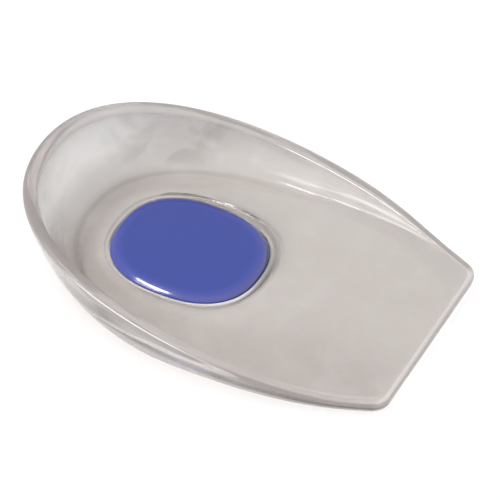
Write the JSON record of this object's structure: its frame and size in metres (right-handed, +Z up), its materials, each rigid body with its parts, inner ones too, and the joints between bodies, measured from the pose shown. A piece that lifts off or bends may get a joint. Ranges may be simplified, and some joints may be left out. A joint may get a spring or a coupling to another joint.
{
  "type": "heel cup",
  "caption": "Clear silicone heel cup with a bowl-shaped wall that falls to a thin straight toe edge, and a blue soft pad let into its sloping floor.",
  "frame": {"origin": "middle of the bounding box, on the plane of the flat sole", "axes": "+X towards the toes, +Y to the left, +Z up"},
  "size_m": [0.1, 0.072, 0.0211],
  "materials": {
    "clear_silicone": "clear, glossy",
    "blue_silicone": "glossy"
  },
  "bodies": {
    "root": {"cup_body": "clear_silicone", "soft_spot": "blue_silicone"}
  },
  "joints": []
}
